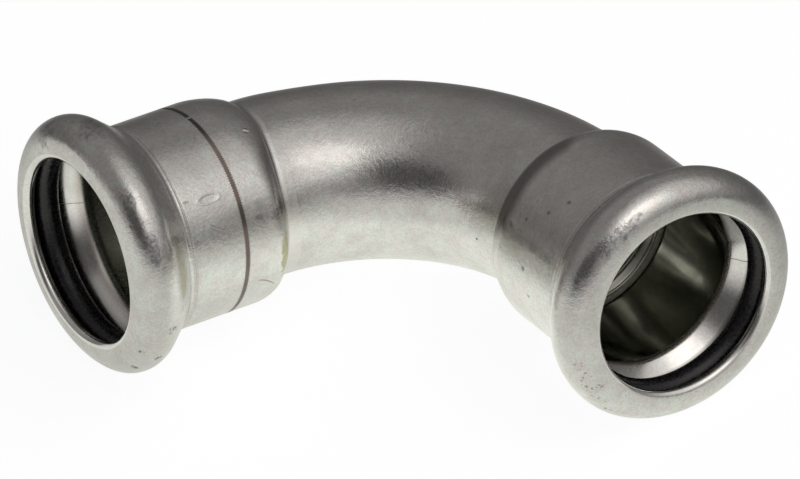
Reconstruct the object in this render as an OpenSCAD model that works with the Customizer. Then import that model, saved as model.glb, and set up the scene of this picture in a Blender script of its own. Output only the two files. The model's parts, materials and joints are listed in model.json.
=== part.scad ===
// Press-fit elbow for thin-walled pipe: one bent tube whose two ends are widened into
// sockets and rolled into beads, each bead holding a rubber O-ring. The elbow lies on its
// side on the plane z = 0, touching it with both beads and with the outside of the bend.

/* [Pipe and wall] */
// Outside diameter of the pipe that the elbow joins
pipe_od = 22; // [15:0.5:30]
// Radial play between the pipe and the socket bore
socket_play = 0.15; // [0.05:0.05:0.4]
// Wall thickness of the formed tube
wall = 1.5; // [1:0.1:1.8]

/* [Bend] */
// Radius of the quarter bend at the middle of the tube
bend_r = 28.15; // [24:0.05:45]
// Straight tube between the bend and the foot of each shoulder
bend_straight = 0.1; // [0.1:0.1:10]

/* [Socket] */
// How far each end is widened from the bent tube, on the radius
widening = 2.05; // [1:0.05:3]
// Outer radius of the shoulder where the tube widens
shoulder_r = 2.8; // [2.2:0.1:6]
// Radius of the crease at the foot of the shoulder
foot_r = 0.4; // [0.3:0.1:2]
// Length of the straight socket wall, from the shoulder to the bead
socket_l = 11.4; // [6:0.1:25]

/* [Bead] */
// Outer radius of the hollow between the socket wall and the back of the bead
bead_fillet = 1.2; // [0.6:0.1:3]
// Slope of the bead's straight back, from the direction of the socket wall
back_slope = 40; // [34:1:50]
// Radial play between the pipe and the turned-in lip at the mouth
lip_play = 0.35; // [0.2:0.05:0.8]
// Room in the bead round the section of the O-ring
groove_room = 0.42; // [0.2:0.02:0.8]

/* [O-ring] */
// Thickness of the O-ring
seal_d = 3.1; // [2.4:0.1:4]
// Radial play between the pipe and the O-ring
seal_play = 0.15; // [0.05:0.05:0.4]
// Clearance between the O-ring and the crown of its bead
seal_gap = 0.05; // [0.02:0.01:0.1]

/* [Hidden] */

// Widest turn between neighbouring points of an arc in the wall section, in degrees
arc_step = 6;
$fn = 96;

steel = "#b4b2ab";
rubber = "#17171a";

// Radii of the tube and of the socket, outside and inside
socket_ri = pipe_od / 2 + socket_play;
socket_ro = socket_ri + wall;
tube_ro = socket_ro - widening;
tube_ri = tube_ro - wall;

// Turn of the S-shaped shoulder, equal in its foot and in its round
shoulder_turn = acos(1 - widening / (shoulder_r + foot_r));

// O-ring and the bead rolled round it: radius of each section and of the circle it runs on
seal_c = pipe_od / 2 + seal_play + seal_d / 2;
groove_r = seal_d / 2 + groove_room;
crown_r = groove_r + wall;
bead_c = seal_c + seal_gap - groove_room;

// Length of the bead's straight back between the hollow and the crown
back_l = ((crown_r + bead_fillet) * cos(back_slope) - (socket_ro + bead_fillet - bead_c)) / sin(back_slope);

// Turn of the lip past the bead's crown
lip_ri = pipe_od / 2 + lip_play;
lip_turn = acos((lip_ri + wall / 2 - bead_c) / (groove_r + wall / 2));

// Places along one leg, from the end of the bend
foot_y = bend_straight;
shoulder_y = foot_y + (shoulder_r + foot_r) * sin(shoulder_turn);
hollow_y = shoulder_y + socket_l;
bead_y = hollow_y + (crown_r + bead_fillet) * sin(back_slope) + back_l * cos(back_slope);

// From the crossing of the two pipe axes to the middle of a bead, and to the middle of the bend
bead_reach = bend_r + bead_y;
bend_reach = bend_r * (sqrt(2) - 1);

// The elbow leans until the bend meets the plane that both beads rest on. The lowest points of a
// bead and of the bend each follow from a round section carried on a circle, and setting their
// depths equal gives a quadratic in the sine of the lean.
lean_arm = bead_reach / sqrt(2) - bend_reach;
section_step = tube_ro - crown_r;
lean_square = pow(lean_arm, 2) + pow(bead_c, 2) / 2;
lean_root = pow(lean_arm * section_step, 2) - lean_square * (pow(section_step, 2) - pow(bead_c, 2));
lean_sine = (sqrt(lean_root) - lean_arm * section_step) / lean_square;
lean = asin(lean_sine);
axis_height = tube_ro - bend_reach * lean_sine;

// How far a bead reaches in a direction, given the direction's share along that bead's leg
function bead_extent(along) = bead_reach * along + bead_c * sqrt(1 - pow(along, 2)) + crown_r;
reach_front = bead_extent((1 + cos(lean)) / 2);
reach_back = bead_extent((1 - cos(lean)) / 2);
footprint_mid = (reach_front - reach_back) / 2;

// Points of an arc round a centre, from one angle to another
function arc(centre, r, from, to) =
    let (steps = ceil(abs(to - from) / arc_step))
    [for (i = [0 : steps]) let (a = from + (to - from) * i / steps) centre + r * [cos(a), sin(a)]];

function reversed(points) = [for (i = [len(points) - 1 : -1 : 0]) points[i]];

// One skin of the formed wall, from the bend to the end of the lip, at a depth below the outside
function wall_skin(depth) = concat(
    [[tube_ro - depth, 0]],
    arc([tube_ro + foot_r, foot_y], foot_r + depth, 180, 180 - shoulder_turn),
    arc([socket_ro - shoulder_r, shoulder_y], shoulder_r - depth, -shoulder_turn, 0),
    arc([socket_ro + bead_fillet, hollow_y], bead_fillet + depth, 180, 180 - back_slope),
    arc([bead_c, bead_y], crown_r - depth, -back_slope, lip_turn));

// The rounded edge of the lip
function lip_edge() =
    let (middle = [bead_c, bead_y] + (crown_r - wall / 2) * [cos(lip_turn), sin(lip_turn)])
    arc(middle, wall / 2, lip_turn, lip_turn + 180);

// Places its children on the leg along +X, with their +Z along that leg from the end of the bend
module on_marked_leg() {
    translate([bend_r, 0, 0]) rotate([0, 90, 0]) children();
}

// The same for the leg along +Y
module on_plain_leg() {
    mirror([1, -1, 0]) on_marked_leg() children();
}

// Lays its children down: their origin is the crossing of the axes, and the legs run along +X and +Y
module at_rest() {
    translate([-footprint_mid, -footprint_mid, axis_height]) rotate(a = lean, v = [1, -1, 0]) children();
}

// A widened and rolled end of the tube
module formed_end() {
    rotate_extrude() polygon(concat(wall_skin(0), lip_edge(), reversed(wall_skin(wall))));
}

// The quarter bend between the two ends
module bent_tube() {
    translate([bend_r, bend_r, 0]) rotate([0, 0, 180]) rotate_extrude(angle = 90)
        translate([bend_r, 0]) difference() {
            circle(r = tube_ro);
            circle(r = tube_ri);
        }
}

module o_ring() {
    color(rubber) translate([0, 0, bead_y]) rotate_extrude() translate([seal_c, 0]) circle(d = seal_d);
}

module elbow_body() {
    color(steel) at_rest() union() {
        bent_tube();
        on_marked_leg() formed_end();
        on_plain_leg() formed_end();
    }
}

module o_ring_marked_end() {
    at_rest() on_marked_leg() o_ring();
}

module o_ring_plain_end() {
    at_rest() on_plain_leg() o_ring();
}

elbow_body();
o_ring_marked_end();
o_ring_plain_end();
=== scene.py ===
"""Looks of a press-fit pipe elbow: pickled stainless tube with rolled beads and black O-rings."""
import json
import math

import bpy
import numpy as np
from mathutils import Matrix, Vector


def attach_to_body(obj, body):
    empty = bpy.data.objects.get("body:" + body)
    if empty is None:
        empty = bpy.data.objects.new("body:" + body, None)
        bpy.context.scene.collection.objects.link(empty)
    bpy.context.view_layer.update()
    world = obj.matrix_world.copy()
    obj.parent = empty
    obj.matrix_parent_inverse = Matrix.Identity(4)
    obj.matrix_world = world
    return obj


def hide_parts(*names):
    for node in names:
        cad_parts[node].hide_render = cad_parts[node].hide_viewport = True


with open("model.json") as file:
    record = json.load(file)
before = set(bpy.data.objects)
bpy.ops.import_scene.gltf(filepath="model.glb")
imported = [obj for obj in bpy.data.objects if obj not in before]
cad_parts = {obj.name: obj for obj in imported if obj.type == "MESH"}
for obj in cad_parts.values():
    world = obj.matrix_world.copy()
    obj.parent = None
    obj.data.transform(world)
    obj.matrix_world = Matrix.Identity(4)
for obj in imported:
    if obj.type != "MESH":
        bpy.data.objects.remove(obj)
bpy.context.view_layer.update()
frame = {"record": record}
MM = 0.001

# Camera: a long lens from above the two mouths, tilted a little as the picture is.
# Angles are in the part's frame: azimuth from +X towards +Y, elevation above the floor.
picture_width_px = 800
focal_px = 8843
sensor_width_mm = 36.0
nearest_seen, farthest_seen = 0.05, 50.0
view_azimuth, view_elevation, view_roll = 61.91, 43.64, -7.00
view_distance = 1033.1 * MM
view_aim = Vector((0.346, 1.197, 14.322)) * MM


def direction(azimuth, elevation):
    """Unit vector from the part towards a place on the sky, from two angles in degrees."""
    a, e = math.radians(azimuth), math.radians(elevation)
    return Vector((math.cos(e) * math.cos(a), math.cos(e) * math.sin(a), math.sin(e)))


def looking_from(place, back, roll=0.0):
    """Matrix of a camera or lamp at a place, with its -Z against `back` and turned about it by roll."""
    right = Vector((0, 0, 1)).cross(back).normalized()
    turned = Matrix.Rotation(math.radians(roll), 3, back) @ right
    axes = Matrix((turned, back.cross(turned), back)).transposed()
    return Matrix.Translation(place) @ axes.to_4x4()


lens = bpy.data.cameras.new("camera")
lens.sensor_width = sensor_width_mm
lens.lens = focal_px * sensor_width_mm / picture_width_px
lens.clip_start, lens.clip_end = nearest_seen, farthest_seen
camera = bpy.data.objects.new("camera", lens)
towards_camera = direction(view_azimuth, view_elevation)
camera.matrix_world = looking_from(view_aim + towards_camera * view_distance, towards_camera, view_roll)
bpy.context.scene.collection.objects.link(camera)
bpy.context.scene.camera = camera

# Steel body: one stainless tube, bent cold, with both ends widened into sockets and rolled
# into beads. Its wall section is drawn once, straight, and carried along the bent middle line.
socket_dims = frame["record"]["mounts"][0]["dims"]
socket_bore_r = socket_dims["r_mm"] * MM
socket_length = socket_dims["length_mm"] * MM
wall = 1.5 * MM
widening = 2.05 * MM
bend_r = 28.15 * MM
bend_straight = 0.1 * MM
shoulder_r, foot_r = 2.8 * MM, 0.4 * MM
hollow_r = 1.2 * MM
plain_flare_corner_r = 1.3 * MM
back_slope = math.radians(40)
seal_r, seal_section_r = 12.7 * MM, 1.55 * MM
groove_room, seal_gap = 0.42 * MM, 0.05 * MM
lip_bore_r = 11.35 * MM

socket_r = socket_bore_r + wall
tube_r = socket_r - widening
shoulder_turn = math.acos(1 - widening / (shoulder_r + foot_r))
groove_r = seal_section_r + groove_room
crown_r = groove_r + wall
bead_r = seal_r + seal_gap - groove_room
back_length = (crown_r + hollow_r) * math.cos(back_slope) - (socket_r + hollow_r - bead_r)
back_length /= math.sin(back_slope)
lip_turn = math.acos((lip_bore_r + wall / 2 - bead_r) / (groove_r + wall / 2))
shoulder_at = bend_straight + (shoulder_r + foot_r) * math.sin(shoulder_turn)
hollow_at = shoulder_at + socket_length
bead_at = hollow_at + (crown_r + hollow_r) * math.sin(back_slope) + back_length * math.cos(back_slope)
half_bend = bend_r * math.pi / 4


def leg_axis(name):
    """A point on a leg's axis and the direction out of its mouth, from the socket's stated place."""
    mount = next(m for m in frame["record"]["mounts"] if m["name"] == name)
    return np.array(mount["pos_m"]), np.array(mount["axis"])


marked_point, marked_axis = leg_axis("marked_socket")
plain_point, plain_axis = leg_axis("plain_socket")
leg_axes = np.stack([marked_axis, -plain_axis], 1)
reach = np.linalg.lstsq(leg_axes, plain_point - marked_point, rcond=None)[0]
crossing = marked_point + reach[0] * marked_axis
bend_normal = np.cross(marked_axis, plain_axis)
bend_centre = crossing + bend_r * (marked_axis + plain_axis)
mid_outward = -(marked_axis + plain_axis) / math.sqrt(2)
mid_forward = (plain_axis - marked_axis) / math.sqrt(2)


def along_elbow(t, r, theta):
    """Points round the bent middle line.

    t is the way along that line from the middle of the bend, negative towards the marked end; r is the
    distance from it; theta turns from the outside of the bend to its upper side. The line is an arc of
    the bend's radius as far as half_bend, and straight beyond.
    """
    t, r, theta = np.broadcast_arrays(t, r, theta)
    on_arc = np.clip(t, -half_bend, half_bend)
    phi = (on_arc / bend_r)[..., None]
    outward = np.cos(phi) * mid_outward + np.sin(phi) * mid_forward
    forward = np.cos(phi) * mid_forward - np.sin(phi) * mid_outward
    middle = bend_centre + bend_r * outward + (t - on_arc)[..., None] * forward
    radial = np.cos(theta)[..., None] * outward + np.sin(theta)[..., None] * bend_normal
    return middle + r[..., None] * radial


def arc(centre, radius, start, stop, count):
    """Points (way along, radius) of an arc. Its angle is 0 away from the middle line, 90 to the mouth."""
    angle = np.linspace(start, stop, count)
    return np.stack([centre[0] + radius * np.sin(angle), centre[1] + radius * np.cos(angle)], 1)


def straight(start, stop, count):
    """Evenly spaced points on the line between two points, without its ends."""
    share = np.linspace(0, 1, count + 2)[1:-1, None]
    return np.array(start) * (1 - share) + np.array(stop) * share


fine_wall_length = 1.0 * MM


def end_skin(depth, corner_r, fineness):
    """One skin of a formed end, from the bend to the lip, at a depth below the outside of the wall.

    It is an S of two arcs at the shoulder, the straight socket wall, a small hollow of radius corner_r,
    the straight back of the bead and the arc of its crown. Its rows lie closer beside the hollow.
    """
    near_hollow = hollow_at - fine_wall_length
    wall_r = socket_r - depth
    hollow_start = hollow_at + (hollow_r + depth - corner_r) * math.tan(back_slope / 2)
    hollow = arc((hollow_start, wall_r + corner_r), corner_r, math.pi, math.pi - back_slope, 2 * fineness)
    crown = arc((bead_at, bead_r), crown_r - depth, -back_slope, lip_turn, 4 * fineness)
    return np.concatenate([
        arc((bend_straight, tube_r + foot_r), foot_r + depth, math.pi, math.pi - shoulder_turn, fineness),
        arc((shoulder_at, socket_r - shoulder_r), shoulder_r - depth, -shoulder_turn, 0, 2 * fineness)[1:],
        straight((shoulder_at, wall_r), (near_hollow, wall_r), 2 * fineness),
        straight((near_hollow, wall_r), (hollow_at, wall_r), 2 * fineness),
        hollow,
        straight(hollow[-1], crown[0], fineness),
        crown,
    ])


def lip_round(count):
    """The rounded edge of the lip, a half circle from the outer skin to the inner one, without its ends."""
    middle = arc((bead_at, bead_r), crown_r - wall / 2, lip_turn, lip_turn, 1)[0]
    return arc(middle, wall / 2, lip_turn, lip_turn + math.pi, count)[1:-1]


ridge_at, groove_at = hollow_at + 0.02 * MM, hollow_at - 0.22 * MM
tool_width = 0.09 * MM
marked_ridge, marked_groove = 0.07 * MM, 0.08 * MM
plain_ridge, plain_groove = 0.02 * MM, 0.05 * MM


def rolled(points, ridge_height, groove_depth):
    """The outer skin with the ridge and the fine groove that the rolling tool leaves beside the hollow.

    Each is a bell curve of the way along.
    """
    ridge = ridge_height * np.exp(-((points[:, 0] - ridge_at) / tool_width) ** 2)
    groove = groove_depth * np.exp(-((points[:, 0] - groove_at) / tool_width) ** 2)
    return points + np.stack([0 * ridge, ridge - groove], 1)


def mirrored(points):
    """The same points on the other leg, in the opposite order."""
    return points[::-1] * (-1, 1)


outer_fineness, bore_fineness, lip_points = 9, 6, 12
outer_bend_rows, inner_bend_rows = 64, 40
around = 168
shift = np.array((half_bend, 0.0))
outer_end = end_skin(0.0, hollow_r, outer_fineness)
lip_end = lip_round(lip_points) + shift
marked_end = rolled(outer_end, marked_ridge, marked_groove) + shift
plain_end = rolled(outer_end, plain_ridge, plain_groove) + shift
marked_bore = end_skin(wall, hollow_r + wall, bore_fineness) + shift
plain_bore = end_skin(wall, plain_flare_corner_r, bore_fineness) + shift
outer_bend = straight((-half_bend, tube_r), (half_bend, tube_r), outer_bend_rows)
inner_bend = straight((half_bend, tube_r - wall), (-half_bend, tube_r - wall), inner_bend_rows)
outside = np.concatenate([mirrored(marked_end), outer_bend, plain_end])
plain_inside = np.concatenate([lip_end, plain_bore[::-1]])
marked_inside = np.concatenate([mirrored(marked_bore[::-1]), mirrored(lip_end)])
section = np.concatenate([outside, plain_inside, inner_bend, marked_inside])

foot_slide_plain = -0.85 * MM
foot_slide_crook, foot_slide_outside = 0.36 * MM, -1.1 * MM
top_slide_plain, top_slide_outside = 0.2 * MM, 1.7 * MM
lip_slide_plain, lip_slide_marked = -0.2 * MM, -0.45 * MM
swell_height = 0.21 * MM


def step(value, low, high):
    """0 at low, 1 at high, held beyond them, and between them the S of 3 x squared less 2 x cubed."""
    share = np.clip((value - low) / (high - low), 0, 1)
    return share * share * (3 - 2 * share)


def as_formed(t, r, theta):
    """The shoulders and the lips as the tools left them, a little off the drawing.

    Each foot crease slides along the tube, on the marked leg towards the mouth in the crook and towards
    the bend outside it. There the top of that shoulder slides towards the mouth, which makes it long and
    soft, and the tube below it swells a little. The lips lie deeper on the crook's side. Each slide is a
    length times smooth steps of the way along and of the turn.
    """
    from_bend = np.abs(t) - half_bend
    outward = np.cos(theta)
    on_marked = t < 0
    marked_foot = foot_slide_crook + (foot_slide_outside - foot_slide_crook) * step(outward, -1, -0.15)
    foot_slide = np.where(on_marked, marked_foot, foot_slide_plain)
    near_foot = step(from_bend, -7 * MM, -1 * MM) * step(from_bend, 3.2 * MM, 0)
    top_slide = np.where(on_marked, top_slide_outside * step(outward, -1, -0.1), top_slide_plain)
    near_top = step(from_bend, 0, 3.2 * MM) * step(from_bend, 6.6 * MM, 3.3 * MM)
    lip_slide = np.where(on_marked, lip_slide_marked, lip_slide_plain) * step(outward, 5 / 6, -5 / 6)
    near_lip = step(from_bend, bead_at, bead_at + crown_r)
    slide = foot_slide * near_foot + top_slide * near_top + lip_slide * near_lip
    near_swell = step(from_bend, -10 * MM, -1 * MM) * step(from_bend, 1.3 * MM, 0) * on_marked
    swell = swell_height * near_swell * step(outward, -0.35, 0.25)
    return t + np.sign(t) * slide, r + swell


def closed_grid(name, t, r, columns, materials, second_from=math.inf, reshaped=None):
    """A surface closed both ways: a closed section, one row each point, turned round the middle line.

    Its UV map holds the way along in metres and the share of the turn, which starts underneath. Faces
    from the row second_from on take the second material.
    """
    rows = len(t)
    theta = np.arange(columns)[None, :] * 2 * math.pi / columns - math.pi / 2
    way_along, distance = t[:, None], r[:, None]
    if reshaped:
        way_along, distance = reshaped(way_along, distance, theta)
    points = along_elbow(way_along, distance, theta)
    row, column = np.meshgrid(np.arange(rows), np.arange(columns), indexing="ij")
    next_row, next_column = (row + 1) % rows, (column + 1) % columns
    corners = ((row, column), (row, next_column), (next_row, next_column), (next_row, column))
    quads = np.stack([i * columns + j for i, j in corners], -1)
    mesh = bpy.data.meshes.new(name)
    mesh.from_pydata(points.reshape(-1, 3), [], quads.reshape(-1, 4))
    way = np.stack([t[i] for i, _ in corners], -1)
    share = np.stack([column, column + 1, column + 1, column], -1) / columns
    layer = mesh.uv_layers.new(name="along_around")
    layer.data.foreach_set("uv", np.stack([way, share], -1).astype(np.float32).ravel())
    mesh.polygons.foreach_set("use_smooth", np.ones(rows * columns, bool))
    for material in materials:
        mesh.materials.append(material)
    mesh.polygons.foreach_set("material_index", (row >= second_from).astype(np.int32).ravel())
    mesh.validate()
    piece = bpy.data.objects.new(name, mesh)
    bpy.context.scene.collection.objects.link(piece)
    return piece


class Socket:
    """One output of a shader tree. Arithmetic on it adds Math nodes."""

    def __init__(self, tree, socket=None):
        self.tree, self.socket = tree, socket

    def node(self, kind, settings=None, inputs=None, out=0):
        """Adds a node: first its settings, then the values or links of its sockets. Gives one output."""
        made = self.tree.nodes.new(kind)
        for name, value in (settings or {}).items():
            setattr(made, name, value)
        for name, value in (inputs or {}).items():
            if isinstance(value, Socket):
                self.tree.links.new(value.socket, made.inputs[name])
            else:
                made.inputs[name].default_value = value
        return Socket(self.tree, made.outputs[out])

    def math(self, operation, *others):
        """A Math node on this value and any others."""
        return self.node("ShaderNodeMath", {"operation": operation}, dict(enumerate((self, *others))))

    def __add__(self, other):
        return self.math("ADD", other)

    def __sub__(self, other):
        return self.math("SUBTRACT", other)

    def __rsub__(self, other):
        return self * -1 + other

    def __mul__(self, other):
        return self.math("MULTIPLY", other)

    def __truediv__(self, other):
        return self.math("DIVIDE", other)

    __radd__ = __add__
    __rmul__ = __mul__

    def __abs__(self):
        return self.math("ABSOLUTE")

    def fade(self, low, high):
        """0 below low, 1 above high and smooth between; the other way round where low is above high."""
        if low > high:
            return 1 - self.fade(high, low)
        settings = {"interpolation_type": "SMOOTHSTEP"}
        return self.node("ShaderNodeMapRange", settings, {"Value": self, "From Min": low, "From Max": high})

    def noise(self, vector, scale, detail=2.0, roughness=0.5):
        """A noise pattern, whose scale is in waves per metre."""
        inputs = {"Vector": vector, "Scale": scale, "Detail": detail, "Roughness": roughness}
        return self.node("ShaderNodeTexNoise", None, inputs)

    def mix(self, factor, first, second, blend="MIX"):
        """A colour between two colours, or with another blend of them."""
        settings = {"data_type": "RGBA", "blend_type": blend}
        return self.node("ShaderNodeMix", settings, {0: factor, 6: first, 7: second}, 2)

    def bump(self, strength, distance, height):
        """A normal that is tilted as a relief of this height would tilt it."""
        inputs = {"Strength": strength, "Distance": distance, "Height": height}
        return self.node("ShaderNodeBump", None, inputs)


def new_finish(name):
    """A material with its Principled shader, and a Socket that adds nodes to it."""
    material = bpy.data.materials.new(name)
    material.use_nodes = True
    return material, material.node_tree.nodes["Principled BSDF"], Socket(material.node_tree)


def attach(add, shader, links):
    """Links values to the named sockets of a shader."""
    for name, value in links.items():
        add.tree.links.new(value.socket, shader.inputs[name])


def way_and_turn(add):
    """The way along in millimetres and the turn in degrees, 0 at the outside of the bend, 90 on top."""
    uv = add.node("ShaderNodeUVMap", {"uv_map": "along_around"})
    way = add.node("ShaderNodeSeparateXYZ", None, {0: uv}, 0)
    turn = add.node("ShaderNodeSeparateXYZ", None, {0: uv}, 1)
    return way / MM, turn * 360 - 90


def marked(station):
    """Way along of a place on the marked leg, given in millimetres from the crossing of the two axes."""
    return -(station + (half_bend - bend_r) / MM)


def plain(station):
    """The same on the plain leg."""
    return station + (half_bend - bend_r) / MM


class OuterSkin:
    """The outside of the steel: where a point lies on it, and the patterns that its finish is made of."""

    mm_per_degree = math.radians(socket_r / MM)

    def __init__(self, add):
        self.add = add
        self.way, self.turn = way_and_turn(add)
        self.from_bend = abs(self.way) - half_bend / MM
        self.on_plain = self.way.fade(-1, 1)
        place = add.node("ShaderNodeTexCoord", out="Object")
        self.fine = add.noise(place, 6500.0, 1.0).fade(0.28, 0.72)
        self.grain = add.noise(place, 2300.0, 3.0, 0.6).fade(0.28, 0.72)
        self.blotches = add.noise(place, 700.0, 3.0, 0.6).fade(0.3, 0.7)
        self.clouds = add.noise(place, 200.0, 4.0, 0.6).fade(0.32, 0.68)
        patches = add.noise(place, 90.0, 2.0).fade(0.42, 0.62)
        self.pits = add.noise(place, 1500.0, 2.0).fade(0.69, 0.75) * patches
        self.ragged = (self.blotches - 0.5) * 0.9

    def ellipse(self, at, angle, length, width):
        """Distance from a mark's middle, 1 on an ellipse whose half sizes are given in millimetres."""
        across = (self.turn - angle) * (self.mm_per_degree / width)
        lengthwise = (self.way - at) / length
        return (lengthwise * lengthwise + across * across).math("SQRT")

    def mark(self, at, angle, length, width):
        """1 in a small mark with a ragged edge, 0 outside it."""
        return (self.ellipse(at, angle, length, width) + self.ragged).fade(1.0, 0.5)

    def marks(self, *places):
        """The sum of several marks. Each is given by its strength, way along, turn and two half sizes."""
        return sum(self.mark(*place) * strength for strength, *place in places)


rosy_grey = (0.745, 0.70, 0.69, 1)
greenish_grey = (0.69, 0.725, 0.70, 1)
cloud_grey = (0.61, 0.60, 0.58, 1)
pit_grey = (0.17, 0.165, 0.15, 1)
highlight_bright = (0.97, 0.95, 0.92, 1)
crease_highlight_bright = (0.93, 0.92, 0.90, 1)
past_die_pale = (0.84, 0.82, 0.79, 1)
scuff_and_reflection_blue = (0.20, 0.205, 0.23, 1)
shade_and_grime_brown = (0.17, 0.155, 0.145, 1)
residue_yellow = (0.34, 0.335, 0.15, 1)
stain_brown = (0.15, 0.095, 0.075, 1)
speck_black = (0.06, 0.055, 0.05, 1)
scratch_brown = (0.16, 0.13, 0.11, 1)
burnt_black = (0.010, 0.008, 0.007, 1)
burnt_brown = (0.27, 0.195, 0.165, 1)


def pickled(skin):
    """Bare pickled steel: two close greys in blotches, clouds of a third, a fine grain and small pits."""
    colour = skin.add.mix(skin.blotches, rosy_grey, greenish_grey)
    colour = skin.add.mix(skin.clouds * 0.7, colour, cloud_grey)
    tone = 0.82 + skin.fine * 0.14 + skin.grain * 0.12 + skin.blotches * 0.08
    colour = skin.add.mix(1.0, colour, tone, "MULTIPLY")
    return skin.add.mix(skin.pits * 0.35, colour, pit_grey)


def bead_highlight_and_scuffs(skin, colour):
    """A painted highlight on the crown of the plain bead, and dull bluish scuffs on both beads, partly
    painted dark reflection.
    """
    # Painted highlight: the plain bead's crown is lightened where the lamp's reflection lies.
    painted_highlight = skin.ellipse(plain(50.35), 113, 0.9, 3.4).fade(1.3, 0.4)
    colour = skin.add.mix(painted_highlight * 0.65, colour, highlight_bright)
    # Bluish scuffs with grain, partly real and partly painted dark reflection beside each bead's highlight.
    scuffs_and_dark_reflection = skin.marks(
        (0.8, marked(48.2), 90, 1.8, 2.6),
        (0.8, marked(50.6), 62, 1.2, 1.6),
        (1.0, marked(48.9), 156, 1.0, 2.6),
        (1.0, marked(49.4), 134, 0.5, 1.4),
        (0.9, plain(50.8), 124, 0.5, 3.2))
    return skin.add.mix(scuffs_and_dark_reflection * skin.grain * 0.9, colour, scuff_and_reflection_blue)


def shaded_and_soiled(skin, colour):
    """Painted shade in the creases, darker patches behind the marked bead and on its socket, and
    yellowish pickling residue.

    The painted shade in a crease is widest on the front of its leg, and the marked crease has a painted
    highlight, a bright rim, on top.
    """
    way, turn, from_bend = skin.way, skin.turn, skin.from_bend
    on_marked = 1 - skin.on_plain
    plain_front = turn.fade(85, 105) * turn.fade(175, 155) * skin.on_plain
    front = plain_front + turn.fade(115, 140) * turn.fade(205, 165) * on_marked
    # Painted shade: the crease at the foot of each shoulder is darkened, widest on the front of the leg.
    crease = (from_bend + plain_front * 0.3).fade(-0.1, 0.15)
    crease = crease * (from_bend - front * 1.7 - plain_front * 0.4).fade(2.0, 0.4)
    elsewhere = (1 - front) * turn.fade(115, 140)
    shade_and_grime = crease * (0.2 + front * (0.28 + skin.on_plain * 0.25) + elsewhere * 0.35)
    # Two darker patches in the same colour: in the hollow behind the marked bead, and on its socket.
    shade_and_grime = shade_and_grime + skin.ellipse(marked(45.3), 172, 1.5, 4.2).fade(1.2, 0.3) * 0.55
    shade_and_grime = shade_and_grime + skin.ellipse(marked(34.0), 154.5, 4.5, 1.1).fade(1.2, 0.2) * skin.blotches * 0.4
    colour = skin.add.mix(shade_and_grime, colour, shade_and_grime_brown)
    # Painted highlight: a bright rim along the top of the marked crease.
    crease_highlight = way.fade(-21.4, -21.7) * way.fade(-22.15, -22.0) * turn.fade(85, 105) * turn.fade(175, 150)
    colour = skin.add.mix(crease_highlight * 0.8, colour, crease_highlight_bright)
    residue = skin.marks(
        (1.3, marked(29.9), 190, 0.9, 3.8),
        (0.75, marked(45.3), 175, 0.7, 3.6),
        (0.5, plain(29.6), 196, 0.5, 4.0))
    return skin.add.mix(residue * 0.6, colour, residue_yellow)


def specked(skin, colour):
    """Brown stains, a black speck in the crook, and soft specks on the plain socket and both beads."""
    stains = skin.marks(
        (0.6, marked(41.8), 140, 0.5, 0.25),
        (0.6, marked(33.1), 160, 0.7, 0.5),
        (0.7, plain(32.2), 154.6, 0.6, 0.45))
    colour = skin.add.mix(stains * 0.7, colour, stain_brown)
    specks = skin.ellipse(15.4, 183.6, 0.3, 0.2).fade(1.1, 0.6)
    for at, angle in ((38.8, 126), (37.1, 137), (34.4, 146.5), (36.3, 171.6), (37.5, 186)):
        soft = (skin.ellipse(plain(at), angle, 0.42, 0.3) + skin.ragged * 0.6).fade(1.2, 0.1)
        specks = specks + soft * 0.6
    for at, angle in ((50.7, 212), (50.0, 229), (48.5, 216), (47.4, 197)):
        specks = specks + skin.mark(marked(at), angle, 0.55, 0.5) * skin.grain.fade(0.3, 0.8) * 0.8
    specks = specks + skin.mark(plain(50.5), 214, 0.8, 4.5) * skin.grain.fade(0.6, 1.0) * 0.7
    return skin.add.mix(specks, colour, speck_black)


def scratched(skin, colour):
    """A curved scratch, and two faint streaks side by side, all on the marked socket."""
    along = (skin.way - marked(33.8)) / (marked(31.3) - marked(33.8))
    off_curve = abs(skin.turn - 199.6 - along.math("POWER", 1.6) * 7.8) * skin.mm_per_degree
    scratch = off_curve.fade(0.14, 0.05) * abs(along - 0.5).fade(0.5, 0.44)
    along = (skin.way - marked(39.9)) / (marked(37.6) - marked(39.9))
    off_streak = abs(abs(skin.turn - 156 - along * 7) * skin.mm_per_degree - 0.25)
    streaks = off_streak.fade(0.16, 0.04) * abs(along - 0.5).fade(0.5, 0.3) * skin.blotches
    return skin.add.mix(scratch * 0.75 + streaks * 0.4, colour, scratch_brown)


def dented(skin):
    """Height of a shallow dent in the marked socket, and of a nick in its shoulder that faces the lamp."""
    edge = skin.ellipse(marked(38.8), 142.3, 1.35, 0.54)
    dent = edge.fade(1.0, 0.6) - abs(edge - 1.1).fade(0.25, 0.0) * 0.5
    nick_turn = 112
    nick = skin.ellipse(marked(29.9), nick_turn, 0.25, 0.5).fade(1.0, 0.3)
    return nick * (nick_turn - skin.turn) * 11 - dent * 4


def laser_line(skin):
    """Cover and colour of the laser's ring line on the marked socket.

    It is a row of overlapping burns that lies a little aslant, black where it starts on top, then brown.
    """
    turn = skin.turn
    aslant = (turn * math.radians(1) + math.radians(153.8)).math("SINE")
    off_line = abs(skin.way + aslant * 0.5 - marked(35.68))
    teeth = (turn * 0.7).math("PINGPONG", 0.5) * 0.38
    cover = (off_line + teeth).fade(0.42, 0.36) * abs(turn - 90.0).fade(0.6, 1.0)
    one_way = {"noise_dimensions": "1D"}
    burn = skin.add.node("ShaderNodeTexNoise", one_way, {"W": turn * 0.09, "Scale": 1.0})
    browned = turn.fade(101, 119) * (1 - abs(turn - 156).fade(10, 3) * 0.75) * (0.6 + burn * 0.6)
    return cover, skin.add.mix(browned, burnt_black, burnt_brown)


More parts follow.
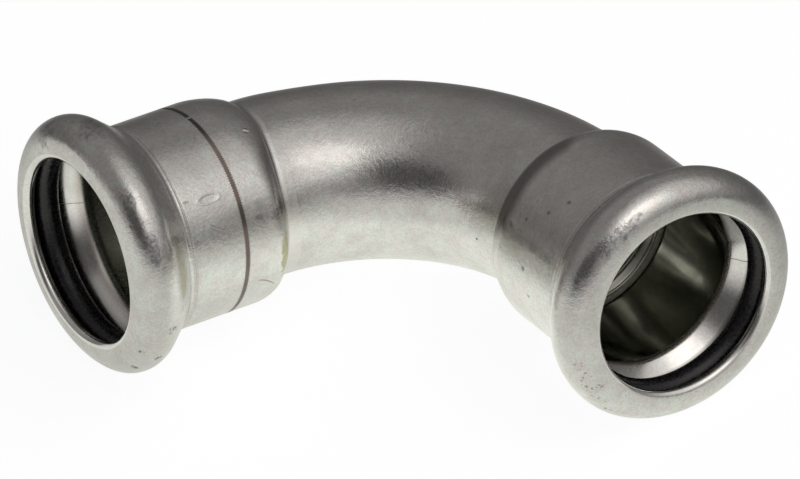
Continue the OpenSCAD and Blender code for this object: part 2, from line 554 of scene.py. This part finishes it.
def outer_steel():
    """Pickled stainless steel with its small marks, a dent, a nick and the laser's line.

    The edge of the bending die shows as a faint step, with paler steel between it and the shoulder.
    """
    material, shader, add = new_finish("pickled_steel")
    skin = OuterSkin(add)
    colour = shaded_and_soiled(skin, bead_highlight_and_scuffs(skin, pickled(skin)))
    colour = scratched(skin, specked(skin, colour))
    past_die = skin.way.fade(-19.6, -20.1) * skin.way.fade(-22.6, -22.1) * skin.turn.fade(125, 155)
    colour = add.mix(past_die * 0.35, colour, past_die_pale)
    line, line_colour = laser_line(skin)
    colour = add.mix(line * (0.95 - skin.turn.fade(160, 200) * 0.2), colour, line_colour)
    rough = 0.14 + skin.clouds * 0.06 + skin.grain * 0.06 + line * 0.25 + past_die * 0.11
    height = skin.fine * 0.4 + skin.grain * 0.8 + skin.blotches + past_die + dented(skin)
    attach(add, shader, {"Base Color": colour, "Roughness": rough, "Metallic": 1 - line * 0.8})
    attach(add, shader, {"Normal": add.bump(0.55, 0.018 * MM, height)})
    return material


bore_grey = (0.64, 0.645, 0.59, 1)
bore_clouds = (0.52, 0.52, 0.47, 1)
marked_bore_painted_light = (0.74, 0.745, 0.69, 1)
past_stop_shade = (0.15, 0.15, 0.13, 1)
stop_rim_highlight = (0.85, 0.85, 0.80, 1)
pressed_bright = (0.93, 0.925, 0.90, 1)
pressed_clouds = (0.86, 0.855, 0.83, 1)
edge_tint = (0.66, 0.56, 0.51, 1)
ring_dark = (0.12, 0.12, 0.11, 1)
seal_shade_dark = (0.13, 0.13, 0.125, 1)
seam_dark = (0.12, 0.115, 0.1, 1)


def inner_steel():
    """The bore: bright where the rolling tool pressed the lip and the flare, dull deeper in, with painted
    light and shade.
    """
    material, shader, add = new_finish("bore_steel")
    place = add.node("ShaderNodeTexCoord", out="Object")
    way, turn = way_and_turn(add)
    clouds = add.noise(place, 300.0, 3.0, 0.6).fade(0.34, 0.66)
    grain = add.noise(place, 3200.0, 2.0).fade(0.3, 0.7)
    from_bend = abs(way) - half_bend / MM
    on_marked = way.fade(1, -1)
    on_plain = 1 - on_marked
    past_hollow = from_bend - hollow_at / MM - on_marked * 0.6
    pressed = past_hollow.fade(0.2, 1.0)
    before_lip = from_bend.fade(bead_at / MM, bead_at / MM - 1)
    flare = pressed * before_lip

    # The dull bore, with painted light that makes it lighter in the marked leg. In the plain leg the pipe
    # stop has a painted highlight on its rim, and painted shade darkens the tube past it.
    deep = add.mix(clouds, bore_grey, bore_clouds)
    deep = add.mix(on_marked * 0.4, deep, marked_bore_painted_light)
    deep = add.mix(from_bend.fade(2.15, 1.9) * on_plain * 0.75, deep, past_stop_shade)
    stop_rim = from_bend.fade(2.15, 2.3) * from_bend.fade(2.8, 2.6) * on_plain
    deep = add.mix(stop_rim * 0.8, deep, stop_rim_highlight)

    # The pressed steel, with a tinted edge, a dull ring before it in the marked leg, painted shade of the
    # O-ring beside it, and a fine seam.
    bright = add.mix(clouds, pressed_bright, pressed_clouds)
    edge = pressed * past_hollow.fade(1.6, 0.8)
    colour = add.mix(edge * 0.6, add.mix(pressed, deep, bright), edge_tint)
    dull_ring = past_hollow.fade(-0.9, -0.3) * past_hollow.fade(0.7, 0.2) * on_marked
    colour = add.mix(dull_ring * 0.75, colour, ring_dark)
    # Painted shade: the flare is darkened beside the O-ring, for its shadow and its dark reflection there.
    painted_seal_shade = past_hollow.fade(1.6, 2.7) * turn.fade(5, -45) * on_marked
    painted_seal_shade = painted_seal_shade + past_hollow.fade(2.6, 3.05) * on_plain
    colour = add.mix(painted_seal_shade * before_lip * 0.7, colour, seal_shade_dark)
    colour = add.mix(1.0, colour, 0.93 + grain * 0.1, "MULTIPLY")
    seam = abs(turn + 7 + clouds * 0.6).fade(0.3, 0.12) * flare
    colour = add.mix(seam * 0.7, colour, seam_dark)

    # The marked bore and the stop's rim are matt, and so are two stretches of the plain flare.
    matt = turn.fade(2, 12) * turn.fade(60, 40) + turn.fade(225, 240) * turn.fade(266, 244) * 0.45
    rough = 0.085 + clouds * 0.05 + grain * 0.04 + seam * 0.2 + pressed * 0.045 + edge * 0.1
    rough = rough + on_marked * (1 - pressed) * 0.14 + stop_rim * 0.3 + matt * flare * on_plain * 0.4
    attach(add, shader, {"Base Color": colour, "Roughness": rough})
    attach(add, shader, {"Normal": add.bump(0.2, 0.003 * MM, grain)})
    shader.inputs["Metallic"].default_value = 1.0
    return material


finishes = [outer_steel(), inner_steel()]
section_way, section_r = section[:, 0], section[:, 1]
body = closed_grid("steel_body", section_way, section_r, around, finishes, len(outside), as_formed)
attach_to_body(body, "root")
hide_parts("elbow_body")

# O-rings: moulded black rubber, one pushed into each bead, with the fine line that
# the two halves of the mould leave along the inside of the ring.
seal_rows, seal_columns = 40, 200
flash_height, flash_width = 0.06 * MM, 0.09
rubber_black = (0.002, 0.002, 0.003, 1)
rubber_sheen = (0.013, 0.010, 0.016, 1)
dust_grey = (0.10, 0.10, 0.11, 1)


def black_rubber():
    """Black rubber with a dull sheen, broken by its fine skin, and a little dust."""
    material, shader, add = new_finish("black_rubber")
    place = add.node("ShaderNodeTexCoord", out="Object")
    skin = add.noise(place, 2200.0, 4.0, 0.65).fade(0.3, 0.7)
    dust = add.noise(place, 3600.0, 1.0).fade(0.64, 0.74)
    colour = add.mix(skin, rubber_black, rubber_sheen)
    colour = add.mix(dust * 0.4, colour, dust_grey)
    attach(add, shader, {"Base Color": colour, "Roughness": 0.19 + skin * 0.14})
    attach(add, shader, {"Normal": add.bump(0.5, 0.035 * MM, skin)})
    shader.inputs["Specular IOR Level"].default_value = 0.55
    return material


# A ring's section is a circle, with a bell curve of its angle added on the side of the pipe.
rubber = black_rubber()
section_angle = np.arange(seal_rows) * 2 * math.pi / seal_rows
flash = flash_height * np.exp(-((section_angle - math.pi) / flash_width) ** 2)
for name, side in (("marked", -1), ("plain", 1)):
    ring_way = side * (half_bend + bead_at) + (seal_section_r + flash) * np.sin(section_angle)
    ring_r = seal_r + (seal_section_r + flash) * np.cos(section_angle)
    ring = closed_grid(f"o_ring_{name}", ring_way, ring_r, seal_columns, [rubber])
    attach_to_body(ring, "root")
    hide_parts(f"o_ring_{name}_end")

# Floor: a wide pale sheet under the elbow. It shines a little of its own to the eye and
# in the steel, so that it stays pale, and it keeps the shadow.
floor_radius, floor_corners = 6.0, 64
sheet_grey = (0.3, 0.3, 0.305, 1)
tint_to_eye, tint_in_steel = (0.99, 0.995, 1, 1), (0.985, 1, 0.915, 1)
lit_side, right_side = 42, 152
crook_on_floor = (-0.009, 0.006, 0)
no_light = (0, 0, 0, 1)


def pale_sheet():
    """Matt paper, white to the eye. In the steel its glow is painted light: bright in front and in a pool
    under the crook, dim behind.
    """
    material, shader, add = new_finish("pale_sheet")
    shader.inputs["Base Color"].default_value = sheet_grey
    shader.inputs["Roughness"].default_value = 0.9
    shader.inputs["Specular IOR Level"].default_value = 0.1
    shader.inputs["Emission Strength"].default_value = 1.0
    place = add.node("ShaderNodeTexCoord", out="Object")

    def measure(operation, vector):
        """A number from a place on the floor and a vector, in metres."""
        return add.node("ShaderNodeVectorMath", {"operation": operation}, {0: place, 1: vector}, "Value")

    # Painted light in the steel: the sheet's glow is shaped into a lit front, a pool under the crook and a
    # dim back.
    in_front = measure("DOT_PRODUCT", direction(lit_side, 0)).fade(-0.075, 0.02)
    to_right = measure("DOT_PRODUCT", direction(right_side, 0)).fade(0.02, 0.12)
    under_crook = measure("DISTANCE", crook_on_floor).fade(0.045, 0.008)
    painted_glow_in_steel = in_front * (0.60 - to_right * 0.2) + under_crook * 0.36
    seen = add.node("ShaderNodeLightPath", out="Is Camera Ray")
    seen = seen + add.node("ShaderNodeLightPath", out="Is Transmission Ray")
    in_steel = add.node("ShaderNodeLightPath", out="Is Glossy Ray")
    tint = add.mix(seen, tint_in_steel, tint_to_eye)
    attach(add, shader, {"Emission Color": add.mix(seen * 0.875 + in_steel * painted_glow_in_steel, no_light, tint)})
    return material


corner = np.linspace(0, 2 * math.pi, floor_corners, endpoint=False)
sheet_edge = np.stack([np.cos(corner), np.sin(corner), 0 * corner], 1) * floor_radius
sheet = bpy.data.meshes.new("floor")
sheet.from_pydata(sheet_edge, [], [list(range(floor_corners))])
sheet.materials.append(pale_sheet())
floor = bpy.data.objects.new("floor", sheet)
bpy.context.scene.collection.objects.link(floor)

# Light: one large soft lamp high on the right, in a dim room that is lighter round the lamp
# and low in front, with two dark patches in front on the left.
part_middle = Vector((0, 0, 0.015))
lamp_azimuth, lamp_elevation, lamp_roll = 106, 61.5, -10
lamp_distance = 1.2
lamp_width, lamp_depth = 0.70, 0.52
lamp_radiance = 0.38
lamp_colour = (1.0, 0.93, 0.855)
room_colour = (1.0, 0.965, 0.935, 1)

lamp = bpy.data.lights.new("soft_lamp", "AREA")
lamp.shape = "RECTANGLE"
lamp.size, lamp.size_y = lamp_width, lamp_depth
lamp.color = lamp_colour
lamp.energy = lamp_radiance * math.pi * lamp_width * lamp_depth
lamp_holder = bpy.data.objects.new("soft_lamp", lamp)
towards_lamp = direction(lamp_azimuth, lamp_elevation)
lamp_holder.matrix_world = looking_from(part_middle + towards_lamp * lamp_distance, towards_lamp, lamp_roll)
bpy.context.scene.collection.objects.link(lamp_holder)


def dim_room():
    """The room's light by direction: a base, the glow round the lamp, the low front and the dark patches."""
    world = bpy.data.worlds.new("dim_room")
    world.use_nodes = True
    add = Socket(world.node_tree)
    sky = add.node("ShaderNodeTexCoord", out="Generated")
    height = add.node("ShaderNodeSeparateXYZ", None, {0: sky}, 2)

    def towards(azimuth, elevation, widest, narrowest):
        """1 near a direction of the sky and 0 far from it, fading between two angles in degrees."""
        aim = {0: sky, 1: direction(azimuth, elevation)}
        near = add.node("ShaderNodeVectorMath", {"operation": "DOT_PRODUCT"}, aim, "Value")
        return near.fade(math.cos(math.radians(widest)), math.cos(math.radians(narrowest)))

    base = 0.155 + height.fade(0.15, 0.5) * 0.08
    round_lamp = towards(128, 58, 58, 12) * 0.40 + towards(108, 55, 31, 8) * 0.28
    low_front = towards(36, 0, 91, 43) * height.fade(0.40, 0.02) * 0.5
    low_right = towards(150, 5, 50, 15) * 0.05
    dark = towards(36, 38, 24, 11).math("MAXIMUM", towards(12, 31, 20, 10))
    light = (base + round_lamp + low_front + low_right) * (1 - dark * 0.66)
    background = world.node_tree.nodes["Background"]
    attach(add, background, {"Color": add.mix(light, no_light, room_colour)})
    return world


bpy.context.scene.world = dim_room()
bpy.context.scene.view_settings.view_transform = "Standard"
